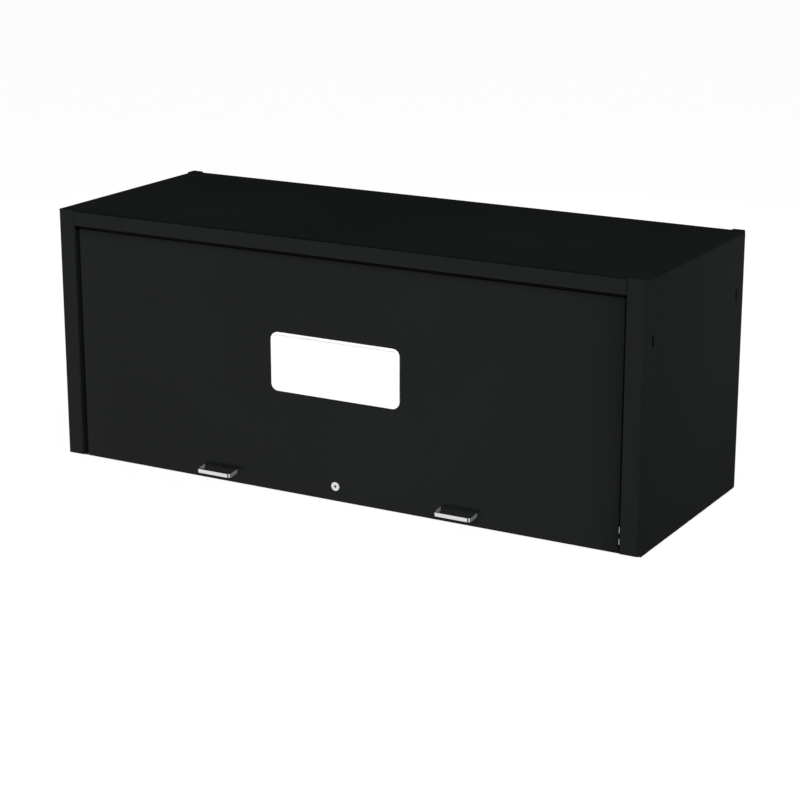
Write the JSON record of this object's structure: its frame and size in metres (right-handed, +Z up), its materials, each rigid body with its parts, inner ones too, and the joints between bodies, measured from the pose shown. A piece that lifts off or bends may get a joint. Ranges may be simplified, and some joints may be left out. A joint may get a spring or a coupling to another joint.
{
  "type": "tool chest top hutch",
  "caption": "Wide steel top hutch for a tool chest, with a lift-up door on a continuous hinge, gas struts, pull handles and a rod lock, on an open base.",
  "frame": {"origin": "middle of the base, on the plane that the side panels stand on", "axes": "+X to the right along the width, +Y from the door to the back, +Z up"},
  "size_m": [1.524, 0.589, 0.62],
  "materials": {
    "black_powder_coat": "satin black powder coat",
    "hinge_black": "black electrocoat",
    "zinc_steel": "bright zinc plate",
    "polished_chrome": "polished chrome",
    "cap_plastic": "moulded black plastic",
    "rubber_black": "moulded rubber",
    "white_nylon": "natural nylon",
    "black_nylon": "moulded black nylon",
    "nameplate_white": "satin white",
    "strut_tube_black": "black enamel",
    "strut_plastic": "glass-filled nylon",
    "strut_rod_chrome": "hard chrome"
  },
  "bodies": {
    "case": {"left_side_panel": "black_powder_coat", "right_side_panel": "black_powder_coat", "roof_panel": "black_powder_coat", "back_panel": "black_powder_coat", "left_rear_post": "black_powder_coat", "right_rear_post": "black_powder_coat", "rear_post_caps": "cap_plastic", "roof_channel_left": "black_powder_coat", "roof_channel_center": "black_powder_coat", "roof_channel_right": "black_powder_coat", "hinge_backing_bar": "zinc_steel", "hinge_case_leaf": "hinge_black", "hinge_pin": "zinc_steel", "hinge_case_rivets": "hinge_black", "left_strike_plate": "hinge_black", "right_strike_plate": "hinge_black", "strike_screws": "hinge_black", "left_door_stop": "black_powder_coat", "right_door_stop": "black_powder_coat", "door_bumpers": "rubber_black", "left_strut_case_bracket": "black_powder_coat", "right_strut_case_bracket": "black_powder_coat", "strut_clips": "zinc_steel"},
    "door": {"door_panel": "black_powder_coat", "door_liner": "black_powder_coat", "door_channel_left": "black_powder_coat", "door_channel_center": "black_powder_coat", "door_channel_right": "black_powder_coat", "hinge_door_leaf": "hinge_black", "hinge_door_rivets": "hinge_black", "left_handle": "polished_chrome", "right_handle": "polished_chrome", "handle_nuts": "zinc_steel", "lock_barrel": "polished_chrome", "lock_nut": "zinc_steel", "rod_guides": "white_nylon", "rod_bushes": "black_nylon", "left_rod_guide_plate": "zinc_steel", "right_rod_guide_plate": "zinc_steel", "left_strut_door_bracket": "black_powder_coat", "right_strut_door_bracket": "black_powder_coat", "nameplate": "nameplate_white"},
    "lock": {"lock_plug": "polished_chrome", "lock_cam": "zinc_steel", "lock_cam_screw": "zinc_steel"},
    "left_rod": {"left_lock_rod": "zinc_steel"},
    "right_rod": {"right_lock_rod": "zinc_steel"},
    "left_cylinder": {"left_strut_cylinder": "strut_tube_black", "left_strut_gland": "strut_plastic"},
    "right_cylinder": {"right_strut_cylinder": "strut_tube_black", "right_strut_gland": "strut_plastic"},
    "left_piston": {"left_strut_rod": "strut_rod_chrome", "left_strut_socket": "strut_plastic"},
    "right_piston": {"right_strut_rod": "strut_rod_chrome", "right_strut_socket": "strut_plastic"}
  },
  "joints": [
    {"name": "door_hinge", "type": "hinge", "parent": "case", "child": "door", "pos_m": [0, -0.2713, 0.5755], "axis": [-1, 0, 0], "range_deg": [0, 90]},
    {"name": "right_rod_slide", "type": "slide", "parent": "door", "child": "right_rod", "axis": [1, 0, 0], "range_m": [0, 0.01556]},
    {"name": "lock_turn", "type": "hinge", "parent": "door", "child": "lock", "pos_m": [0, -0.273, 0.0395], "axis": [0, 1, 0], "range_deg": [0, 90]},
    {"name": "left_rod_slide", "type": "slide", "parent": "door", "child": "left_rod", "axis": [-1, 0, 0], "range_m": [0, 0.01557]},
    {"name": "left_strut_swing", "type": "hinge", "parent": "case", "child": "left_cylinder", "pos_m": [-0.703, -0.2213, 0.5435], "axis": [-1, 0, 0], "range_deg": [0, 85.22]},
    {"name": "left_strut_slide", "type": "slide", "parent": "left_cylinder", "child": "left_piston", "axis": [0, -0.0767, -0.9971], "range_m": [0, 0.08141]},
    {"name": "right_strut_swing", "type": "hinge", "parent": "case", "child": "right_cylinder", "pos_m": [0.703, -0.2213, 0.5435], "axis": [-1, 0, 0], "range_deg": [0, 85.22]},
    {"name": "right_strut_slide", "type": "slide", "parent": "right_cylinder", "child": "right_piston", "axis": [0, -0.0767, -0.9971], "range_m": [0, 0.08141]}
  ],
  "couplings": [
    {"joint": "lock_turn", "follows": "right_rod_slide", "rad_per_m": 100.97},
    {"joint": "left_rod_slide", "follows": "right_rod_slide", "ratio": 1},
    {"joint": "left_strut_swing", "follows": "door_hinge", "ratio": 0.94674},
    {"joint": "left_strut_slide", "follows": "door_hinge", "m_per_rad": 0.051816},
    {"joint": "right_strut_swing", "follows": "door_hinge", "ratio": 0.94674},
    {"joint": "right_strut_slide", "follows": "door_hinge", "m_per_rad": 0.051816}
  ]
}
